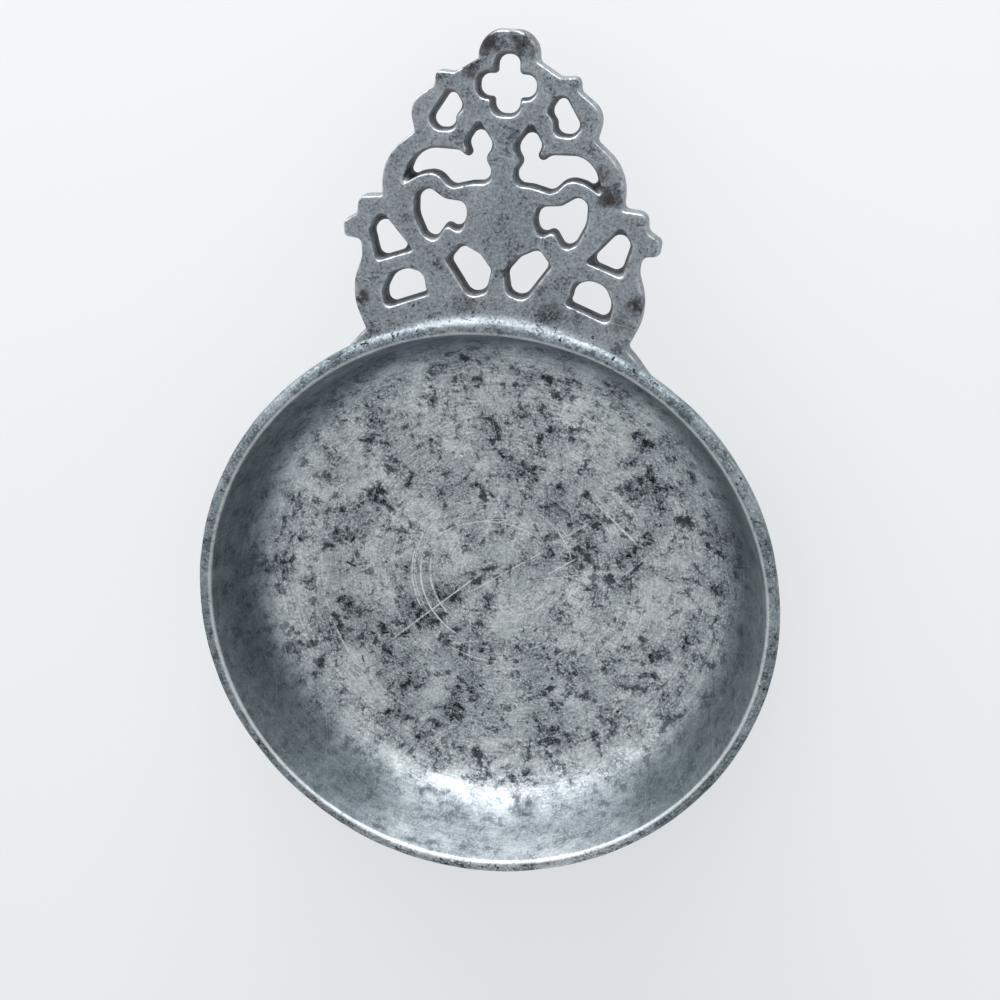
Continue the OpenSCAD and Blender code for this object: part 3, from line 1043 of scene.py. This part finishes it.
def finish_handle(r):
    edge, opening_wall = r.attribute("edge_wear"), r.attribute("opening_wall")
    face = r.step(opening_wall, 0.6, 0.2)
    swept = r.step(r.radius, rim_r + 1.4, rim_r - 0.2)

    cloud, patch, fine = clouds(r), ragged(r, 3), grain(r)
    stain = spots(r, pushed(r, 2, 5), handle_stains)
    depth = r.total(lift(r, patch, 0.8), lift(r, fine, 0.7), lift(r, cloud, 0.35), r.both(stain, -0.1))
    oxide, freckles = r.step(depth, -0.1, -0.13), r.step(fine, 0.37, 0.33)
    tone = r.total(0.55, lift(r, cloud, 0.2), lift(r, patch, 0.1), lift(r, fine, 0.62), r.both(oxide, -0.1),
                   r.both(freckles, -0.12), r.both(stain, -0.16), r.both(edge, 0.02), r.both(swept, 0.03))
    colour = r.ramp(tone, grey_steps)

    near_root = r.step(r.radius, rim_r + 11, rim_r + 3)
    gather = r.total(r.both(stain, 0.9), r.both(near_root, 0.5), 0.15)
    black = r.both(r.either(pits(r, 1.6, gather, 0.60), pits(r, 0.7, gather, 0.62)), face)
    colour = r.over(r.both(black, 0.9), colour, pit_black)
    crust = r.over(r.step(patch, 0.5, 0.6), brown_oxide, black_crust)
    colour = r.over(r.both(stain, r.step(patch, 0.44, 0.52), 0.75), colour, crust)

    # The walls of the openings are darkened with oxide and painted shade, with brown oxide low down.
    soot_and_shade = r.step(r.noise(r.place, 3, detail=4, roughness=0.6), 0.4, 0.6)
    low = r.step(r.height, handle_top - 1.5, handle_back + 0.5)
    wall_colour = r.over(r.both(soot_and_shade, low), cold_oxide_and_shade, brown_oxide)
    colour = r.over(r.both(opening_wall, r.step(soot_and_shade, 0, 1, 0.92, 0.72)), colour, wall_colour)

    rubbed = r.both(edge, r.step(r.noise(r.place, 2.2), 0.4, 0.6, 0, 0.36), r.step(stain, 0.9, 0.2))
    scouring = r.both(r.either(hairlines(r, 12), hairlines(r, -52)), 0.25, face)
    colour = r.over(r.either(rubbed, scouring), colour, bright_metal)

    rough = r.total(0.5, r.both(oxide, 0.05), r.both(stain, 0.12), r.both(black, 0.2), r.both(opening_wall, 0.15),
                    r.both(edge, 0.06))
    relief = r.total(r.both(fine, 0.25), r.both(patch, 0.2), r.both(black, -0.6))
    return colour, rough, relief


finish(cast_pewter, finish_handle)


# %% [markdown]
# The finished pieces stand for the two CAD solids and ride with the one body that the part has.

# %% Dress the frame
for piece, node, slot in ((turned_bowl, "bowl", "pewter_bowl"), (pierced_handle, "handle", "pewter_handle"),
                          (wall_tongue, "handle", "pewter_handle")):
    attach(piece, "root")
    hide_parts(node)
    print(piece.name, "stands for", node)

# %% [markdown]
# The camera stands where the photographer stood. Its place, its turn and its lens were solved from the ellipse of the
# rim and the pairs of openings, and are written here as plain numbers.

# %% Camera
camera_data = bpy.data.cameras.new("camera")
camera_data.sensor_width = 36
camera_data.lens = 52.91
camera = placed("camera", camera_data)
right = Vector((0.98685, 0.04717, -0.15461))
up = Vector((-0.09137, 0.95179, -0.29283))
camera_z = right.cross(up).normalized()
up = camera_z.cross(right).normalized()
turn = Matrix((right.normalized(), up, camera_z)).transposed().to_4x4()
camera.matrix_world = Matrix.Translation((0.0475, 0.1286, 0.3432)) @ turn
bpy.context.scene.camera = camera
print("camera with a lens of", round(camera_data.lens, 2), "mm")

# %% [markdown]
# Bare metal looks like what stands round it, so the studio is part of the finish. The sky is a level grey, and the
# floor is matt paper that runs out of sight. Light Path lets the camera and the reflections see it paler than it is:
# the background comes out nearly white and keeps the shadow, and no lamp has to be turned up for it.

# %% Floor and sky
bpy.context.scene.view_settings.view_transform = "Standard"
floor_half = 3
floor_mesh = bpy.data.meshes.new("pale_floor")
floor_mesh.from_pydata([(x * floor_half, y * floor_half, 0) for x, y in ((-1, -1), (1, -1), (1, 1), (-1, 1))],
                       [], [(0, 1, 2, 3)])
pale_floor = placed("pale_floor", floor_mesh)


def paper_floor(paper_colour, seen_colour, seen_share):
    """Matt paper. The camera and the rays off metal or through glass see it mixed with a paler glow."""
    material = bpy.data.materials.new("floor_paint")
    material.use_nodes = True
    tree = material.node_tree
    paper = tree.nodes["Principled BSDF"]
    paper.inputs["Base Color"].default_value = paper_colour
    paper.inputs["Roughness"].default_value = 0.9
    ray, glow, blend, share = (tree.nodes.new(kind) for kind in (
        "ShaderNodeLightPath", "ShaderNodeEmission", "ShaderNodeMixShader", "ShaderNodeMath"))
    glow.inputs["Color"].default_value = seen_colour
    seen = ray.outputs["Is Camera Ray"]
    for kind in ("Is Glossy Ray", "Is Transmission Ray"):
        either_ray = tree.nodes.new("ShaderNodeMath")
        either_ray.operation = "MAXIMUM"
        link_all(tree, (seen, either_ray.inputs[0]), (ray.outputs[kind], either_ray.inputs[1]))
        seen = either_ray.outputs[0]
    share.operation = "MULTIPLY"
    share.inputs[1].default_value = seen_share
    link_all(tree, (seen, share.inputs[0]), (share.outputs[0], blend.inputs[0]), (paper.outputs[0], blend.inputs[1]),
             (glow.outputs[0], blend.inputs[2]), (blend.outputs[0], tree.nodes["Material Output"].inputs["Surface"]))
    return material


floor_mesh.materials.append(paper_floor((0.8, 0.81, 0.82, 1), (0.86, 0.875, 0.89, 1), 0.6))
sky = bpy.data.worlds.new("sky")
bpy.context.scene.world = sky
sky.use_nodes = True
sky.node_tree.nodes["Background"].inputs["Color"].default_value = (0.69, 0.705, 0.725, 1)

# %% [markdown]
# Two soft boxes stand low beyond the handle, where the curve of the bowl sends the eye. They draw the bright sweep
# at the bottom of the bowl and the line along the lip.


# %% Two soft boxes
def soft_box(name, place, size, radiance):
    """A lamp at a place in metres, turned to the bowl. A radiance of 1 is as bright as white paper."""
    lamp = bpy.data.lights.new(name, "AREA")
    lamp.shape = "RECTANGLE"
    lamp.size, lamp.size_y = size
    lamp.energy = radiance * math.pi * size[0] * size[1]
    stand = placed(name, lamp)
    stand.location = place
    stand.rotation_euler = Vector(place).to_track_quat("Z", "Y").to_euler()
    print(name, "gives", round(lamp.energy, 1), "W")


soft_box("key_box", (0.03, 0.97, 0.17), (0.65, 0.22), 31)
soft_box("side_box", (-0.5, 0.83, 0.22), (0.5, 0.25), 16)
